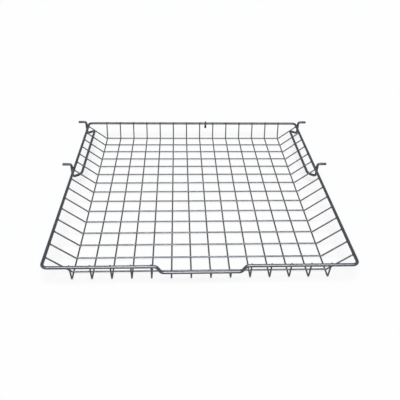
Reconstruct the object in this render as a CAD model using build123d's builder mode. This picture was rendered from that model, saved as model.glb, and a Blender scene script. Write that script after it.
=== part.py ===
# Dishwasher basket: a shallow tray welded from bent steel wires and then coated.
# Cross wires lie on lengthwise wires, their ends turn up to a thicker rim wire, and two bent
# hangers under the side walls carry the tray by four hooks.
# Millimetres. +X is to the right, +Y to the rear, +Z up. The origin lies on the surface that the
# tray stands on, below the middle of the rim.
import os
from math import asin, atan2, cos, hypot, sin

from build123d import *

# Wire sizes, over the coating
mesh_wire = 2.5
rim_wire = 5.0
hanger_wire = 5.0
weld_gap = 0.05  # left between two wires that are welded together

# Faces: the mesh and the rim have flats, with corners as far out as the round wire's surface, and
# every bend is turned in a few straight steps
mesh_flats = 8
rim_flats = 12
bend_steps = 3

# Floor mesh
lengthwise_count = 14
lengthwise_pitch = 30.0
cross_count = 15
cross_pitch = 32.0
mesh_bend = 3.5  # radius of a mesh wire's axis where it turns up

# Walls. A foot is where a wire turns up, measured past the outermost wire that it crosses,
# and a flare runs from there out to the rim's axis
basket_depth = 29.2  # from the cross wires' axes up to the rim's axis
side_foot = 1.5
side_flare = 38.1
side_aim = 1.0  # side wires point this far above the rim's axis
rear_foot = 5.5
rear_flare = 11.4
rear_end = 4.4  # height of the rear wire ends above the rim's axis
front_foot = 14.2
front_flare = 9.4
front_end = 0.5

# Rim, with a lowered grip in the middle of its front
rim_rear_bend = 7.5
rim_front_bend = 9.0
grip_wires = 4  # lengthwise wires that end at the lowered stretch
grip_drop = 11.6
grip_margin = 14.5  # level stretch past the outer two of those wires
grip_run = 7.5
grip_bend = 6.0

# Hangers
hanger_cells = 5  # mesh cells between the first and the last cross wire on the bar
hanger_rear_reach = 7.0  # rear leg behind the first of them
hanger_front_reach = 23.1  # front leg before the last of them
bar_below_rim = 18.5  # down the slope of the side wall
leg_drop = 19.8  # lower corner of a leg below the rim's axis
hook_rise = 7.7  # hook's axis above the rim's axis
hook_reach = 16.6  # end of the hook beyond the leg's axis
hook_bend = 4.0
leg_bend = 3.5
bar_bend = 8.0

# Rear stop: a short upright stub inside the rear rim with a soft tip pushed onto its lower end
stop_offset = 13.0  # to the right of the wire that is next to the middle
stub_rise = 7.0  # above the rim's axis
tip_top = 1.5  # below the rim's axis
tip_length = 8.5
tip_neck = 3.4
tip_width = 4.6
tip_belly = 1.8  # height of the widest place
tip_end = 2.2  # width of the flat end
tip_socket = 4.5
tip_fit = 0.05  # between stub and socket

# Places worked out from the sizes
lengthwise_z = mesh_wire / 2
cross_z = lengthwise_z + mesh_wire + weld_gap
rim_z = cross_z + basket_depth
mesh_half_width = (lengthwise_count - 1) * lengthwise_pitch / 2
cross_span = (cross_count - 1) * cross_pitch
side_foot_x = mesh_half_width + side_foot
rim_half_width = side_foot_x + side_flare
rim_half_depth = (cross_span + rear_foot + rear_flare + front_foot + front_flare) / 2
rear_foot_y = rim_half_depth - rear_flare
front_foot_y = front_flare - rim_half_depth
first_cross_y = rear_foot_y - rear_foot
grip_half_width = (grip_wires - 1) * lengthwise_pitch / 2 + grip_margin
rim_lap = (rim_wire + mesh_wire) / 2 + weld_gap
side_angle = atan2(basket_depth + side_aim, side_flare)


def stepped_axis(points, bends):
    """Corners of a wire's axis, with every bend turned in equal straight steps."""
    bent = FilletPolyline(*points, radius=bends, mode=Mode.PRIVATE)
    corners = []
    for edge in bent.order_edges():
        steps = 1 if edge.geom_type == GeomType.LINE else bend_steps
        corners += [edge @ (step / steps) for step in range(steps)]
    return corners + [bent @ 1]


def bent_wire(name, points, bends, diameter, across, flats=0, mirrored=False):
    """One wire swept along its axis, round or with flats, and then with a corner that points across."""
    with BuildPart() as wire:
        with BuildLine() as axis:
            Polyline(*stepped_axis(points, bends))
        with BuildSketch(Plane(origin=axis.line @ 0, x_dir=across, z_dir=axis.line % 0)):
            if flats:
                RegularPolygon(diameter / 2, flats)
            else:
                Circle(diameter / 2)
        sweep(transition=Transition.RIGHT)
        if mirrored:
            mirror(about=Plane.YZ)
    wire.part.label = name
    export_step(wire.part, f"parts/{name}.step")


def lapped_end(flare, rim_height, end_height):
    """Run and height of the end of a wire that leans past the rim's inner side."""
    rise = rim_height - lengthwise_z
    angle = atan2(rise, flare) + asin(rim_lap / hypot(rise, flare))
    end_rise = rise + end_height
    return end_rise * cos(angle) / sin(angle), rim_height + end_height


os.makedirs("parts", exist_ok=True)

# Rim: one closed loop, level apart from the grip. Its right half is drawn from rear to front
grip_top_x = grip_half_width + grip_run
grip_z = rim_z - grip_drop
rim_points = [
    (0, rim_half_depth, rim_z),
    (rim_half_width, rim_half_depth, rim_z),
    (rim_half_width, -rim_half_depth, rim_z),
    (grip_top_x, -rim_half_depth, rim_z),
    (grip_half_width, -rim_half_depth, grip_z),
    (0, -rim_half_depth, grip_z),
]
rim_bends = [rim_rear_bend, rim_front_bend, grip_bend, grip_bend]
bent_wire("rim_wire", rim_points, rim_bends, rim_wire, (0, 1, 0), rim_flats, mirrored=True)

# Lengthwise wires, from left to right: the lower layer, lapped on the inside of the rim
rear_run, rear_end_z = lapped_end(rear_flare, rim_z, rear_end)
for index in range(lengthwise_count):
    x = index * lengthwise_pitch - mesh_half_width
    front_rim_z = grip_z if abs(x) < grip_half_width else rim_z
    front_run, front_end_z = lapped_end(front_flare, front_rim_z, front_end)
    lengthwise_points = [
        (x, rear_foot_y + rear_run, rear_end_z),
        (x, rear_foot_y, lengthwise_z),
        (x, front_foot_y, lengthwise_z),
        (x, front_foot_y - front_run, front_end_z),
    ]
    name = f"lengthwise_wire_{index + 1:02d}"
    bent_wire(name, lengthwise_points, mesh_bend, mesh_wire, (1, 0, 0), mesh_flats)

# Cross wires, from rear to front: the upper layer, with ends butted against the rim
side_length = side_flare * cos(side_angle) + basket_depth * sin(side_angle) - rim_wire / 2 - weld_gap
side_end_x = side_foot_x + side_length * cos(side_angle)
side_end_z = cross_z + side_length * sin(side_angle)
for index in range(cross_count):
    y = first_cross_y - index * cross_pitch
    cross_points = [
        (-side_end_x, y, side_end_z),
        (-side_foot_x, y, cross_z),
        (side_foot_x, y, cross_z),
        (side_end_x, y, side_end_z),
    ]
    name = f"cross_wire_{index + 1:02d}"
    bent_wire(name, cross_points, mesh_bend, mesh_wire, (0, 1, 0), mesh_flats)

# Hangers: a bar under the side wires, and at each end a leg outside the rim with a hook on top.
# They are round, because the hooks rest on rails
bar_lap = (mesh_wire + hanger_wire) / 2 + weld_gap
bar_down = hypot(side_flare, basket_depth + side_aim) - bar_below_rim
bar_x = side_foot_x + bar_down * cos(side_angle) + bar_lap * sin(side_angle)
bar_z = cross_z + bar_down * sin(side_angle) - bar_lap * cos(side_angle)
leg_x = rim_half_width + (rim_wire + hanger_wire) / 2 + weld_gap
hook_x = leg_x + hook_reach
hook_z = rim_z + hook_rise
leg_low_z = rim_z - leg_drop
rear_leg_y = first_cross_y + hanger_rear_reach
front_leg_y = first_cross_y - hanger_cells * cross_pitch - hanger_front_reach
hanger_bends = [hook_bend, leg_bend, bar_bend, bar_bend, leg_bend, hook_bend]
for name, side in (("left_hanger", -1), ("right_hanger", 1)):
    hanger_points = [
        (side * hook_x, rear_leg_y, hook_z),
        (side * leg_x, rear_leg_y, hook_z),
        (side * leg_x, rear_leg_y, leg_low_z),
        (side * bar_x, rear_leg_y, bar_z),
        (side * bar_x, front_leg_y, bar_z),
        (side * leg_x, front_leg_y, leg_low_z),
        (side * leg_x, front_leg_y, hook_z),
        (side * hook_x, front_leg_y, hook_z),
    ]
    bent_wire(name, hanger_points, hanger_bends, hanger_wire, (0, 1, 0))

# Rear stop
stop_x = lengthwise_pitch / 2 + stop_offset
stop_y = rim_half_depth - rim_lap
tip_top_z = rim_z - tip_top
stub_foot_z = tip_top_z - tip_socket + tip_fit
with BuildPart() as rear_stop_stub:
    with BuildSketch(Plane((stop_x, stop_y, stub_foot_z))):
        Circle(mesh_wire / 2)
    extrude(amount=rim_z + stub_rise - stub_foot_z)
rear_stop_stub.part.label = "rear_stop_stub"
export_step(rear_stop_stub.part, "parts/rear_stop_stub.step")

with BuildPart() as rear_stop_tip:
    with BuildSketch(Plane((stop_x, stop_y, tip_top_z), x_dir=(1, 0, 0), z_dir=(0, -1, 0))):
        with BuildLine():
            Polyline(
                (0, 0),
                (tip_neck / 2, 0),
                (tip_width / 2, tip_belly - tip_length),
                (tip_end / 2, -tip_length),
                (0, -tip_length),
                close=True,
            )
        make_face()
    revolve(axis=Axis((stop_x, stop_y, 0), (0, 0, 1)))
    with BuildSketch(Plane((stop_x, stop_y, tip_top_z))):
        Circle(mesh_wire / 2 + tip_fit)
    extrude(amount=-tip_socket, mode=Mode.SUBTRACT)
rear_stop_tip.part.label = "rear_stop_tip"
export_step(rear_stop_tip.part, "parts/rear_stop_tip.step")
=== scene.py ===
import math

import bpy
from mathutils import Matrix, Vector


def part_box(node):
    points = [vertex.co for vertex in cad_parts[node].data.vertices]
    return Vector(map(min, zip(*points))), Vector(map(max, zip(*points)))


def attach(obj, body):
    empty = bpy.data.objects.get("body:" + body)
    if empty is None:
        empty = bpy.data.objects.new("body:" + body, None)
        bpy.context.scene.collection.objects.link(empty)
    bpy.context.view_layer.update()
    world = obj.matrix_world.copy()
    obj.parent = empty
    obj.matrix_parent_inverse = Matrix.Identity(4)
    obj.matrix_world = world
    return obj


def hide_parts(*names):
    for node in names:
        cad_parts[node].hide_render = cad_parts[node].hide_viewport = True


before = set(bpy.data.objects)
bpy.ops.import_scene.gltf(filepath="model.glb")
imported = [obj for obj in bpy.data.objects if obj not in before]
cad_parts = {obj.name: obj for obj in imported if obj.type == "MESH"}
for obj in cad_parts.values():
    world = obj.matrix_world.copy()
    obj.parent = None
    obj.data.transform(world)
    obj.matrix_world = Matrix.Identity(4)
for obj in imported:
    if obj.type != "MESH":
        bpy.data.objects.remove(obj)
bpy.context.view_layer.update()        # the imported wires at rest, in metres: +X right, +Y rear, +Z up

bpy.ops.object.select_all(action="DESELECT")
print("frame loaded with", len(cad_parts), "nodes")


# Colours and nodes
def linearColour(hexText):
    channels = [int(hexText[i:i + 2], 16) / 255 for i in (1, 3, 5)]
    return [c / 12.92 if c <= 0.04045 else ((c + 0.055) / 1.055) ** 2.4 for c in channels] + [1.0]


def addNode(tree, kind, settings=None, links=None):
    node = tree.nodes.new(kind)
    for key, value in (settings or {}).items():
        if isinstance(key, int) or key in node.inputs:
            node.inputs[key].default_value = value
        else:
            setattr(node, key, value)
    for socket, source in (links or {}).items():
        tree.links.new(source, node.inputs[socket])
    return node


# A Mix node has sockets for every type of data under the same names, so those for colour go by number
mixShare = 0
mixFirst = 6
mixSecond = 7
mixResult = 2


def newMaterial(name):
    material = bpy.data.materials.new(name)
    material.use_nodes = True
    material.node_tree.nodes.clear()
    return material, material.node_tree


def closeMaterial(tree, shader):
    addNode(tree, "ShaderNodeOutputMaterial", links={"Surface": shader.outputs[0]})


# Polyamide powder fused on hot steel wire: a satin grey skin that flows smooth, with a faint
# orange peel, soft pale and dark drifts along the wire and a few fine dark specks
wireCoating = {
    "deepColour": "#363a42",
    "paleColour": "#50545d",
    "driftSize": 0.014,
    "driftDetail": 3.0,
    "speckColour": "#22252a",
    "speckSize": 0.0011,       # coarser than real specks, so that they show
    "speckDetail": 1.0,
    "speckFrom": 0.66,         # a speck begins at this height of its noise
    "speckFull": 0.74,         # and is full at this one
    "speckDepth": 0.5,
    "peelSize": 0.0016,
    "peelDetail": 1.0,
    "peelHeight": 0.00003,
    "smoothest": 0.34,
    "roughest": 0.44,
    "ior": 1.53,
    "specularLevel": 0.5,
}


def makeWireCoating(look):
    material, tree = newMaterial("greyPolyamideCoating")
    place = addNode(tree, "ShaderNodeTexCoord").outputs["Object"]
    drift = addNode(tree, "ShaderNodeTexNoise",
                    {"Scale": 1 / look["driftSize"], "Detail": look["driftDetail"]},
                    {"Vector": place})
    tone = addNode(tree, "ShaderNodeMix",
                   {"data_type": "RGBA",
                    mixFirst: linearColour(look["deepColour"]),
                    mixSecond: linearColour(look["paleColour"])},
                   {mixShare: drift.outputs["Fac"]})
    speck = addNode(tree, "ShaderNodeTexNoise",
                    {"Scale": 1 / look["speckSize"], "Detail": look["speckDetail"]},
                    {"Vector": place})
    speckShare = addNode(tree, "ShaderNodeMapRange",
                         {"From Min": look["speckFrom"], "From Max": look["speckFull"],
                          "To Max": look["speckDepth"]},
                         {"Value": speck.outputs["Fac"]})
    colour = addNode(tree, "ShaderNodeMix",
                     {"data_type": "RGBA", mixSecond: linearColour(look["speckColour"])},
                     {mixShare: speckShare.outputs[0], mixFirst: tone.outputs[mixResult]})
    gloss = addNode(tree, "ShaderNodeMapRange",
                    {"To Min": look["smoothest"], "To Max": look["roughest"]},
                    {"Value": drift.outputs["Fac"]})
    peel = addNode(tree, "ShaderNodeTexNoise",
                   {"Scale": 1 / look["peelSize"], "Detail": look["peelDetail"]},
                   {"Vector": place})
    bump = addNode(tree, "ShaderNodeBump",
                   {"Distance": look["peelHeight"]},
                   {"Height": peel.outputs["Fac"]})
    shader = addNode(tree, "ShaderNodeBsdfPrincipled",
                     {"IOR": look["ior"], "Specular IOR Level": look["specularLevel"]},
                     {"Base Color": colour.outputs[mixResult], "Roughness": gloss.outputs[0],
                      "Normal": bump.outputs["Normal"]})
    closeMaterial(tree, shader)
    return material


# Black rubber dipped from a liquid: dull, with a fine dusty grain
tipRubber = {
    "colour": "#08090a",
    "dustColour": "#121315",
    "grainSize": 0.0007,       # coarser than real dust, so that it shows
    "grainDetail": 4.0,
    "grainHeight": 0.00005,
    "grainStrength": 0.6,
    "roughness": 0.7,
    "ior": 1.52,
    "specularLevel": 0.25,
}


def makeTipRubber(look):
    material, tree = newMaterial("blackDippedRubber")
    place = addNode(tree, "ShaderNodeTexCoord").outputs["Object"]
    grain = addNode(tree, "ShaderNodeTexNoise",
                    {"Scale": 1 / look["grainSize"], "Detail": look["grainDetail"]},
                    {"Vector": place})
    colour = addNode(tree, "ShaderNodeMix",
                     {"data_type": "RGBA",
                      mixFirst: linearColour(look["colour"]),
                      mixSecond: linearColour(look["dustColour"])},
                     {mixShare: grain.outputs["Fac"]})
    bump = addNode(tree, "ShaderNodeBump",
                   {"Strength": look["grainStrength"], "Distance": look["grainHeight"]},
                   {"Height": grain.outputs["Fac"]})
    shader = addNode(tree, "ShaderNodeBsdfPrincipled",
                     {"IOR": look["ior"], "Roughness": look["roughness"],
                      "Specular IOR Level": look["specularLevel"]},
                     {"Base Color": colour.outputs[mixResult], "Normal": bump.outputs["Normal"]})
    closeMaterial(tree, shader)
    return material


coatingMaterial = makeWireCoating(wireCoating)
rubberMaterial = makeTipRubber(tipRubber)
print("materials made")


# Wire work: a ring is drawn out along straight runs and spun round each bend
wireWork = {
    "meshSides": 16,
    "thickSides": 28,
    "bendStep": math.radians(9),
    "fewestBendSteps": 3,
    "endSteps": 3,
    "smoothAngle": math.radians(50),
}


def namePiece(piece, name):
    piece.name = name
    piece.data.name = name


def selectOnly(*pieces):
    bpy.ops.object.select_all(action="DESELECT")
    for piece in pieces:
        piece.select_set(True)
    bpy.context.view_layer.objects.active = pieces[0]


def drawOut(offset):
    bpy.ops.mesh.extrude_region_move(TRANSFORM_OT_translate={"value": offset})


def startRing(name, place, heading, radius, sides, filled=True):
    bpy.ops.object.select_all(action="DESELECT")
    bpy.ops.mesh.primitive_circle_add(vertices=sides, radius=radius, location=place,
                                      fill_type="NGON" if filled else "NOTHING",
                                      rotation=heading.to_track_quat("Z", "Y").to_euler())
    piece = bpy.context.object
    namePiece(piece, name)
    bpy.ops.object.transform_apply(location=True, rotation=True, scale=True)
    bpy.ops.object.mode_set(mode="EDIT")
    bpy.ops.mesh.select_all(action="SELECT")
    return piece


def drawRings(place, heading, rings):
    # Each ring is a distance along the heading and a radius; the first is the ring that is selected
    for (before, wasRadius), (after, radius) in zip(rings, rings[1:]):
        drawOut(heading * (after - before))
        share = radius / wasRadius
        bpy.ops.transform.resize(value=(share, share, share), center_override=place + heading * after)


def endRings(radius, rounding):
    turns = [math.pi / 2 * step / wireWork["endSteps"] for step in range(wireWork["endSteps"] + 1)]
    return [(rounding * (1 - math.cos(turn)), radius - rounding + rounding * math.sin(turn))
            for turn in turns]


def followCorners(here, corners, bends):
    heading = (corners[1] - corners[0]).normalized()
    for corner, after, bend in zip(corners[1:], corners[2:], bends):
        turned = (after - corner).normalized()
        turn = heading.angle(turned)
        tangent = bend * math.tan(turn / 2)
        bendStart = corner - heading * tangent
        drawOut(bendStart - here)
        inward = (turned - heading * heading.dot(turned)).normalized()
        steps = max(wireWork["fewestBendSteps"], round(turn / wireWork["bendStep"]))
        bpy.ops.mesh.spin(steps=steps, angle=-turn, center=bendStart + inward * bend,
                          axis=heading.cross(turned))
        here = corner + turned * tangent
        heading = turned
    return here, heading


def leaveEdit():
    bpy.ops.mesh.select_all(action="SELECT")
    bpy.ops.mesh.normals_make_consistent(inside=False)
    bpy.ops.object.mode_set(mode="OBJECT")


def drawWire(name, corners, bends, radius, sides, rounding):
    rings = endRings(radius, rounding)
    heading = (corners[1] - corners[0]).normalized()
    piece = startRing(name, corners[0], heading, radius - rounding, sides)
    drawRings(corners[0], heading, rings)
    here, heading = followCorners(corners[0] + heading * rounding, corners, bends)
    lastRing = corners[-1] - heading * rounding
    drawOut(lastRing - here)
    drawRings(corners[-1], heading, [(-distance, size) for distance, size in reversed(rings)])
    leaveEdit()
    return piece


def copyPiece(piece, name, move):
    twin = piece.copy()
    twin.data = piece.data.copy()
    namePiece(twin, name)
    twin.data.transform(move)
    bpy.context.scene.collection.objects.link(twin)
    return twin


def mirrorPiece(piece, name):
    twin = copyPiece(piece, name, Matrix.Scale(-1, 4, (1, 0, 0)))
    selectOnly(twin)
    bpy.ops.object.mode_set(mode="EDIT")
    leaveEdit()
    return twin


def finishPiece(piece, *nodes, material=coatingMaterial, slotName="coated_wire"):
    selectOnly(piece)
    piece.data.materials.clear()
    piece.data.materials.append(material)
    bpy.ops.object.shade_smooth_by_angle(angle=wireWork["smoothAngle"])
    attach(piece, "root")
    if nodes:
        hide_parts(*nodes)


# Rim: one closed loop of thick wire, lowered at the grip in the middle of its front
rim = {
    "radius": 0.0025,
    "rearBend": 0.0075,
    "frontBend": 0.009,
    "gripHalf": 0.0595,        # half the width of the lowered stretch
    "gripRun": 0.0075,
    "gripDrop": 0.0116,
    "gripBend": 0.006,
    "halvesMerge": 0.0001,
}
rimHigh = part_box("rim_wire")[1]
rimX = rimHigh.x - rim["radius"]
rimY = rimHigh.y - rim["radius"]
rimZ = rimHigh.z - rim["radius"]
gripZ = rimZ - rim["gripDrop"]
rimCorners = [Vector(corner) for corner in (
    (0, rimY, rimZ),
    (rimX, rimY, rimZ),
    (rimX, -rimY, rimZ),
    (rim["gripHalf"] + rim["gripRun"], -rimY, rimZ),
    (rim["gripHalf"], -rimY, gripZ),
    (0, -rimY, gripZ),
)]
rimBends = [rim["rearBend"], rim["frontBend"], rim["gripBend"], rim["gripBend"]]
rightWay = Vector((1, 0, 0))
rimPiece = startRing("rimWire", rimCorners[0], rightWay, rim["radius"], wireWork["thickSides"],
                     filled=False)
lastBendEnd = followCorners(rimCorners[0], rimCorners, rimBends)[0]
drawOut(rimCorners[-1] - lastBendEnd)
leaveEdit()
mirror = rimPiece.modifiers.new("otherHalf", "MIRROR")
mirror.merge_threshold = rim["halvesMerge"]
bpy.ops.object.modifier_apply(modifier=mirror.name)
finishPiece(rimPiece, "rim_wire")
print("rim drawn:", len(rimPiece.data.polygons), "faces")

# Mesh wires: the lengthwise ones lie beneath and lean past the inside of the rim, the cross wires lie
# on them and butt against it
meshWire = {
    "radius": 0.00125,
    "bend": 0.0035,
    "rounding": 0.0005,
    "weldGap": 0.00005,
    "lengthwiseCount": 14,
    "crossCount": 15,
}
lengthwise = {
    "rearFlare": 0.0114,       # from the foot out to the rim's axis
    "rearEnd": 0.0044,         # above the rim's axis
    "frontFlare": 0.0094,
    "frontEnd": 0.0005,
}
cross = {
    "footX": 0.1965,
    "wallRun": 0.0381,
    "wallRise": 0.0302,        # aims a little above the rim's axis
    "sunk": 0.0004,            # the welded end goes this far into the rim
}
rimLap = rim["radius"] + meshWire["radius"] + meshWire["weldGap"]


def midOf(node):
    low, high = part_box(node)
    return (low + high) / 2


def frontRimHeight(x):
    return gripZ if abs(x) < rim["gripHalf"] else rimZ


def leanAngle(flare, rise):
    return math.atan2(rise, flare) + math.asin(rimLap / math.hypot(rise, flare))


def lengthwiseCorners(x, frontRimZ):
    floorZ = meshWire["radius"]
    rearFoot = rimY - lengthwise["rearFlare"]
    frontFoot = lengthwise["frontFlare"] - rimY
    rearTop = rimZ + lengthwise["rearEnd"]
    frontTop = frontRimZ + lengthwise["frontEnd"]
    rearRun = (rearTop - floorZ) / math.tan(leanAngle(lengthwise["rearFlare"], rimZ - floorZ))
    frontRun = (frontTop - floorZ) / math.tan(leanAngle(lengthwise["frontFlare"], frontRimZ - floorZ))
    return [Vector((x, rearFoot + rearRun, rearTop)), Vector((x, rearFoot, floorZ)),
            Vector((x, frontFoot, floorZ)), Vector((x, frontFoot - frontRun, frontTop))]


def drawMeshWire(name, corners):
    return drawWire(name, corners, [meshWire["bend"]] * 2, meshWire["radius"], wireWork["meshSides"],
                    meshWire["rounding"])


# One lengthwise wire is drawn for each height of the front rim, and the others are copies
lengthwiseNodes = [f"lengthwise_wire_{index + 1:02d}" for index in range(meshWire["lengthwiseCount"])]
lengthwiseXs = [midOf(node).x for node in lengthwiseNodes]
patterns = {}
for node, x in zip(lengthwiseNodes, lengthwiseXs):
    name = node.replace("lengthwise_wire_", "lengthwiseWire")
    frontRimZ = frontRimHeight(x)
    if frontRimZ in patterns:
        first, firstX = patterns[frontRimZ]
        piece = copyPiece(first, name, Matrix.Translation((x - firstX, 0, 0)))
    else:
        piece = drawMeshWire(name, lengthwiseCorners(x, frontRimZ))
        patterns[frontRimZ] = piece, x
    finishPiece(piece, node)

crossNodes = [f"cross_wire_{index + 1:02d}" for index in range(meshWire["crossCount"])]
crossYs = [midOf(node).y for node in crossNodes]
crossMoves = [Matrix.Translation((0, y - crossYs[0], 0)) for y in crossYs]
crossLow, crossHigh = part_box(crossNodes[0])
crossZ = crossLow.z + meshWire["radius"]
wallAngle = math.atan2(cross["wallRise"], cross["wallRun"])
wallWay = Vector((math.cos(wallAngle), 0, math.sin(wallAngle)))
crossEndX = crossHigh.x - meshWire["radius"] * wallWay.z
crossFoot = Vector((cross["footX"], crossYs[0], crossZ))
crossEnd = crossFoot + wallWay * ((crossEndX - cross["footX"]) / wallWay.x + cross["sunk"])
flip = Vector((-1, 1, 1))
crossPieces = [drawMeshWire("crossWire01", [crossEnd * flip, crossFoot * flip, crossFoot, crossEnd])]
for node, move in zip(crossNodes[1:], crossMoves[1:]):
    name = node.replace("cross_wire_", "crossWire")
    crossPieces.append(copyPiece(crossPieces[0], name, move))
for piece, node in zip(crossPieces, crossNodes):
    finishPiece(piece, node)
print("mesh wires drawn:", len(lengthwiseNodes), "lengthwise and", len(crossPieces), "cross")

# Hangers: a bar under the side wires, a leg outside the rim at each end of it, and a hook on each leg
hanger = {
    "radius": 0.0025,
    "rounding": 0.0007,
    "barBelowRim": 0.0185,     # down the slope of the side wall
    "legDrop": 0.0198,
    "hookBend": 0.004,
    "legBend": 0.0035,
    "barBend": 0.008,
}
hangerLow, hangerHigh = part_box("right_hanger")
hookX = hangerHigh.x
hookZ = hangerHigh.z - hanger["radius"]
rearLegY = hangerHigh.y - hanger["radius"]
frontLegY = hangerLow.y + hanger["radius"]
legX = rimX + rim["radius"] + hanger["radius"] + meshWire["weldGap"]
legLowZ = rimZ - hanger["legDrop"]
barLap = hanger["radius"] + meshWire["radius"] + meshWire["weldGap"]
wallNormal = Vector((-wallWay.z, 0, wallWay.x))
wallLength = (rimX - cross["footX"]) / wallWay.x
barOnWall = crossFoot + wallWay * (wallLength - hanger["barBelowRim"])
barAxis = barOnWall - wallNormal * barLap
hangerCorners = [Vector(corner) for corner in (
    (hookX, rearLegY, hookZ),
    (legX, rearLegY, hookZ),
    (legX, rearLegY, legLowZ),
    (barAxis.x, rearLegY, barAxis.z),
    (barAxis.x, frontLegY, barAxis.z),
    (legX, frontLegY, legLowZ),
    (legX, frontLegY, hookZ),
    (hookX, frontLegY, hookZ),
)]
hangerBends = [hanger["hookBend"], hanger["legBend"], hanger["barBend"]]
rightHanger = drawWire("rightHanger", hangerCorners, hangerBends + hangerBends[::-1], hanger["radius"],
                       wireWork["thickSides"], hanger["rounding"])
leftHanger = mirrorPiece(rightHanger, "leftHanger")
finishPiece(rightHanger, "right_hanger")
finishPiece(leftHanger, "left_hanger")
print("hangers drawn")

# Rear stop: an upright stub inside the rear rim, with a rubber tip on its lower end
stop = {
    "rounding": 0.0005,
    "tipSides": 24,
    "tipRings": [              # distance below the top, radius
        (0.0, 0.0014),
        (0.0003, 0.0017),
        (0.0011, 0.00195),
        (0.0024, 0.00218),
        (0.0044, 0.0023),
        (0.0062, 0.0023),
        (0.0072, 0.00205),
        (0.0079, 0.0015),
        (0.0083, 0.0009),
        (0.0085, 0.0004),
    ],
}
stubLow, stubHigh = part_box("rear_stop_stub")
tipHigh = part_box("rear_stop_tip")[1]
stubMid = (stubLow + stubHigh) / 2
stubEnds = [Vector((stubMid.x, stubMid.y, z)) for z in (stubLow.z, stubHigh.z)]
stub = drawWire("rearStopStub", stubEnds, [], meshWire["radius"], wireWork["meshSides"],
                stop["rounding"])
finishPiece(stub, "rear_stop_stub")
tipTop = Vector((stubMid.x, stubMid.y, tipHigh.z))
downWay = Vector((0, 0, -1))
tip = startRing("rearStopTip", tipTop, downWay, stop["tipRings"][0][1], stop["tipSides"])
drawRings(tipTop, downWay, stop["tipRings"])
leaveEdit()
finishPiece(tip, "rear_stop_tip", material=rubberMaterial, slotName="soft_tip")
print("rear stop made")

# Coating webs: the melted coat draws together in the corners where two wires cross
web = {
    "sides": 12,
    "sunk": 0.00006,           # into each wire
    "waist": 0.86,
    "meshReach": 0.00115,
    "thickReach": 0.0021,
}


def coatingWeb(name, upperRadius, lowerRadius, reach):
    # The upper wire runs along X, the lower one along Y, and they touch at the origin
    bpy.ops.object.select_all(action="DESELECT")
    bpy.ops.mesh.primitive_cylinder_add(vertices=web["sides"], radius=reach, depth=2 * reach)
    piece = bpy.context.object
    namePiece(piece, name)
    bpy.ops.object.mode_set(mode="EDIT")
    bpy.ops.mesh.select_all(action="SELECT")
    bpy.ops.mesh.bisect(plane_co=(0, 0, 0), plane_no=(0, 0, 1))
    bpy.ops.object.mode_set(mode="OBJECT")
    for vertex in piece.data.vertices:
        place = vertex.co
        level = round(place.z / reach)
        if level == 0:
            place.x *= web["waist"]
            place.y *= web["waist"]
        underUpper = upperRadius - math.sqrt(upperRadius ** 2 - place.y ** 2)
        overLower = math.sqrt(lowerRadius ** 2 - place.x ** 2) - lowerRadius
        place.z = {1: underUpper + web["sunk"], 0: (underUpper + overLower) / 2,
                   -1: overLower - web["sunk"]}[level]
    return piece


def webPlace(touch, upperWay, normal):
    sideWay = normal.cross(upperWay)
    turn = Matrix((upperWay, sideWay, normal)).transposed().to_4x4()
    return Matrix.Translation(touch) @ turn


def spreadCopies(name, pattern, places):
    copies = [copyPiece(pattern, name, place) for place in places]
    selectOnly(*copies)
    bpy.ops.object.join()
    finishPiece(copies[0])


meshWeb = coatingWeb("meshWebPattern", meshWire["radius"], meshWire["radius"], web["meshReach"])
lapWeb = coatingWeb("lapWebPattern", meshWire["radius"], rim["radius"], web["meshReach"])
legWeb = coatingWeb("legWebPattern", hanger["radius"], rim["radius"], web["thickReach"])
upWay = Vector((0, 0, 1))
halfGap = meshWire["weldGap"] / 2
floorTouch = crossZ - meshWire["radius"] - halfGap
floorPlaces = [webPlace(Vector((x, y, floorTouch)), rightWay, upWay)
               for x in lengthwiseXs for y in crossYs]
spreadCopies("floorCrossingWebs", meshWeb, floorPlaces)

lapPlaces = []
for x in lengthwiseXs:
    for rimAxis, flare, side in ((Vector((x, rimY, rimZ)), lengthwise["rearFlare"], 1),
                                 (Vector((x, -rimY, frontRimHeight(x))), lengthwise["frontFlare"], -1)):
        angle = leanAngle(flare, rimAxis.z - meshWire["radius"])
        wireWay = Vector((0, side * math.cos(angle), math.sin(angle)))
        inward = Vector((0, -side * math.sin(angle), math.cos(angle)))
        touch = rimAxis + inward * (rim["radius"] + halfGap)
        lapPlaces.append(webPlace(touch, wireWay, inward))
stubTouch = Vector((stubMid.x, rimY - rim["radius"] - halfGap, rimZ))
lapPlaces.append(webPlace(stubTouch, upWay, Vector((0, -1, 0))))
spreadCopies("rimLapWebs", lapWeb, lapPlaces)

barPlaces = []
legPlaces = []
barYs = [y for y in crossYs if frontLegY < y < rearLegY]
for side in (-1, 1):
    mirrored = Vector((side, 1, 1))
    for y in barYs:
        touch = barAxis + wallNormal * (hanger["radius"] + halfGap)
        touch.y = y
        barPlaces.append(webPlace(touch * mirrored, wallWay * mirrored, wallNormal * mirrored))
    for y in (rearLegY, frontLegY):
        touch = Vector((side * (rimX + rim["radius"] + halfGap), y, rimZ))
        legPlaces.append(webPlace(touch, upWay, Vector((side, 0, 0))))
spreadCopies("hangerBarWebs", lapWeb, barPlaces)
spreadCopies("hangerLegWebs", legWeb, legPlaces)

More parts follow.
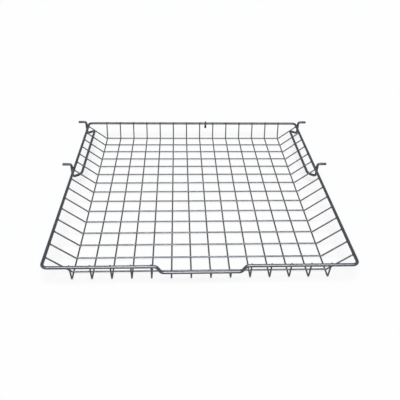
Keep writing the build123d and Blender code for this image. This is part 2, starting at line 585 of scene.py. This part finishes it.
# Collars of coating round the side wires' butted ends
collar = {
    "length": 0.0012,
    "rings": [(0.0, 1.0), (0.45, 1.06), (0.8, 1.17), (1.0, 1.36)],   # shares of the length, of the radius
    "sunk": 0.0001,
}
rimFromFoot = Vector((rimX, 0, rimZ)) - crossFoot * Vector((1, 0, 1))
aimOffset = rimFromFoot.dot(wallNormal)
alongToAxis = rimFromFoot.dot(wallWay)
surfaceAlong = alongToAxis - math.sqrt(rim["radius"] ** 2 - aimOffset ** 2)
collarStart = crossFoot + wallWay * (surfaceAlong - collar["length"])
collarRings = [(share * collar["length"], size * meshWire["radius"]) for share, size in collar["rings"]]
collarPiece = startRing("collarPattern", collarStart, wallWay, collarRings[0][1], wireWork["meshSides"])
drawRings(collarStart, wallWay, collarRings)
leaveEdit()
for vertex in collarPiece.data.vertices:
    # The last ring is pressed onto the round of the rim
    fromFoot = vertex.co - crossFoot
    if fromFoot.dot(wallWay) > surfaceAlong - collar["sunk"]:
        aside = fromFoot.dot(wallNormal) - aimOffset
        rimFace = alongToAxis - math.sqrt(rim["radius"] ** 2 - aside ** 2) + collar["sunk"]
        vertex.co += wallWay * (rimFace - fromFoot.dot(wallWay))
otherCollar = mirrorPiece(collarPiece, "otherCollarPattern")
selectOnly(collarPiece, otherCollar)
bpy.ops.object.join()
spreadCopies("rimButtCollars", collarPiece, crossMoves)
for pattern in (meshWeb, lapWeb, legWeb, collarPiece):
    bpy.data.objects.remove(pattern)
print("coating webs spread")

# Floor, light and camera
studio = {
    "floorSize": 9.0,
    "floorColour": "#fafafa",          # as it is seen
    "bounceColour": "#6a6a6a",         # as it lights the undersides
    "floorGlow": 0.8,                  # share of plain white that the eye sees in it
    "worldColour": "#ffffff",
    "worldStrength": 0.10,             # as it lights the wires
    "backdropWhite": math.radians(4),  # mirrored in the coating, the backdrop is white up to this height
    "backdropTop": math.radians(20),   # and fades out up to this one
    "keyPlace": (0.0, -0.6, 1.5),      # a broad soft light, high and on the camera's side
    "keyAbove": math.radians(69),
    "keyTurn": math.radians(-6),
    "keySpread": math.radians(44),
    "keyStrength": 3.1,
    "boxPlace": (0.0, -0.95, 0.92),    # a soft box that shows only as a gleam on the coating
    "boxAim": (0.0, -0.30, 0.0),
    "boxWidth": 1.1,
    "boxDepth": 0.40,
    "boxSpread": math.radians(55),
    "boxPower": 7.5,
    "lampColour": "#fbfcff",
}


def seenShare(tree, mirrorLimit=None):
    # 1 for what the eye sees, straight or mirrored in the coating, and 0 for what only lights the wires
    ray = addNode(tree, "ShaderNodeLightPath")
    mirrored = addNode(tree, "ShaderNodeMath", {"operation": "MAXIMUM"},
                       {0: ray.outputs["Is Glossy Ray"], 1: ray.outputs["Is Transmission Ray"]})
    if mirrorLimit:
        mirrored = addNode(tree, "ShaderNodeMath", {"operation": "MULTIPLY"},
                           {0: mirrored.outputs[0], 1: mirrorLimit.outputs[0]})
    return addNode(tree, "ShaderNodeMath", {"operation": "MAXIMUM"},
                   {0: ray.outputs["Is Camera Ray"], 1: mirrored.outputs[0]})


# Pale matt paper: white to the eye, with a faint shadow of the wires
bpy.ops.mesh.primitive_plane_add(size=studio["floorSize"], location=(0, 0, 0))
floor = bpy.context.object
floor.name = "floor"
floorMaterial, tree = newMaterial("palePaperFloor")
seen = seenShare(tree)
floorTone = addNode(tree, "ShaderNodeMix",
                    {"data_type": "RGBA",
                     mixFirst: linearColour(studio["bounceColour"]),
                     mixSecond: linearColour(studio["floorColour"])},
                    {mixShare: seen.outputs[0]})
paper = addNode(tree, "ShaderNodeBsdfDiffuse", links={"Color": floorTone.outputs[mixResult]})
glow = addNode(tree, "ShaderNodeEmission")
glowShare = addNode(tree, "ShaderNodeMath", {"operation": "MULTIPLY", 1: studio["floorGlow"]},
                    {0: seen.outputs[0]})
floorShader = addNode(tree, "ShaderNodeMixShader",
                      links={0: glowShare.outputs[0], 1: paper.outputs[0], 2: glow.outputs[0]})
closeMaterial(tree, floorShader)
floor.data.materials.append(floorMaterial)

world = bpy.data.worlds.new("studioWorld")
world.use_nodes = True
tree = world.node_tree
tree.nodes.clear()
wayOut = addNode(tree, "ShaderNodeTexCoord").outputs["Generated"]
height = addNode(tree, "ShaderNodeSeparateXYZ", links={"Vector": wayOut})
backdrop = addNode(tree, "ShaderNodeMapRange",
                   {"From Min": math.sin(studio["backdropTop"]),
                    "From Max": math.sin(studio["backdropWhite"])},
                   {"Value": height.outputs["Z"]})
skyStrength = addNode(tree, "ShaderNodeMath", {"operation": "MAXIMUM", 1: studio["worldStrength"]},
                      {0: seenShare(tree, backdrop).outputs[0]})
sky = addNode(tree, "ShaderNodeBackground", {"Color": linearColour(studio["worldColour"])},
              {"Strength": skyStrength.outputs[0]})
addNode(tree, "ShaderNodeOutputWorld", links={"Surface": sky.outputs[0]})
bpy.context.scene.world = world

lampColour = linearColour(studio["lampColour"])[:3]
bpy.ops.object.light_add(type="SUN", location=studio["keyPlace"],
                         rotation=(math.pi / 2 - studio["keyAbove"], 0, studio["keyTurn"]))
key = bpy.context.object
key.name = "keyLight"
key.data.angle = studio["keySpread"]
key.data.energy = studio["keyStrength"]
key.data.color = lampColour

boxWay = Vector(studio["boxAim"]) - Vector(studio["boxPlace"])
bpy.ops.object.light_add(type="AREA", location=studio["boxPlace"],
                         rotation=boxWay.to_track_quat("-Z", "Y").to_euler())
softBox = bpy.context.object
softBox.name = "softBox"
softBox.data.shape = "RECTANGLE"
softBox.data.size = studio["boxWidth"]
softBox.data.size_y = studio["boxDepth"]
softBox.data.spread = studio["boxSpread"]
softBox.data.energy = studio["boxPower"]
softBox.data.color = lampColour
softBox.visible_camera = False
softBox.visible_diffuse = False

view = {
    "place": (-0.0337, -0.7993, 0.5240),
    "below": math.radians(33.889),     # the lens points this far below level
    "turn": math.radians(-2.950),
    "roll": math.radians(1.374),
    "lens": 44.93,
    "sensor": 36.0,
    "nearest": 0.01,                   # what is closer than this is cut off
}
bpy.ops.object.camera_add(location=view["place"])
camera = bpy.context.object
camera.name = "photoCamera"
camera.rotation_euler = (Matrix.Rotation(view["turn"], 3, "Z")
                         @ Matrix.Rotation(math.pi / 2 - view["below"], 3, "X")
                         @ Matrix.Rotation(view["roll"], 3, "Z")).to_euler()
camera.data.lens = view["lens"]
camera.data.sensor_width = view["sensor"]
camera.data.sensor_fit = "HORIZONTAL"
camera.data.clip_start = view["nearest"]
bpy.context.scene.camera = camera
bpy.context.scene.view_settings.view_transform = "Standard"
print("studio set")
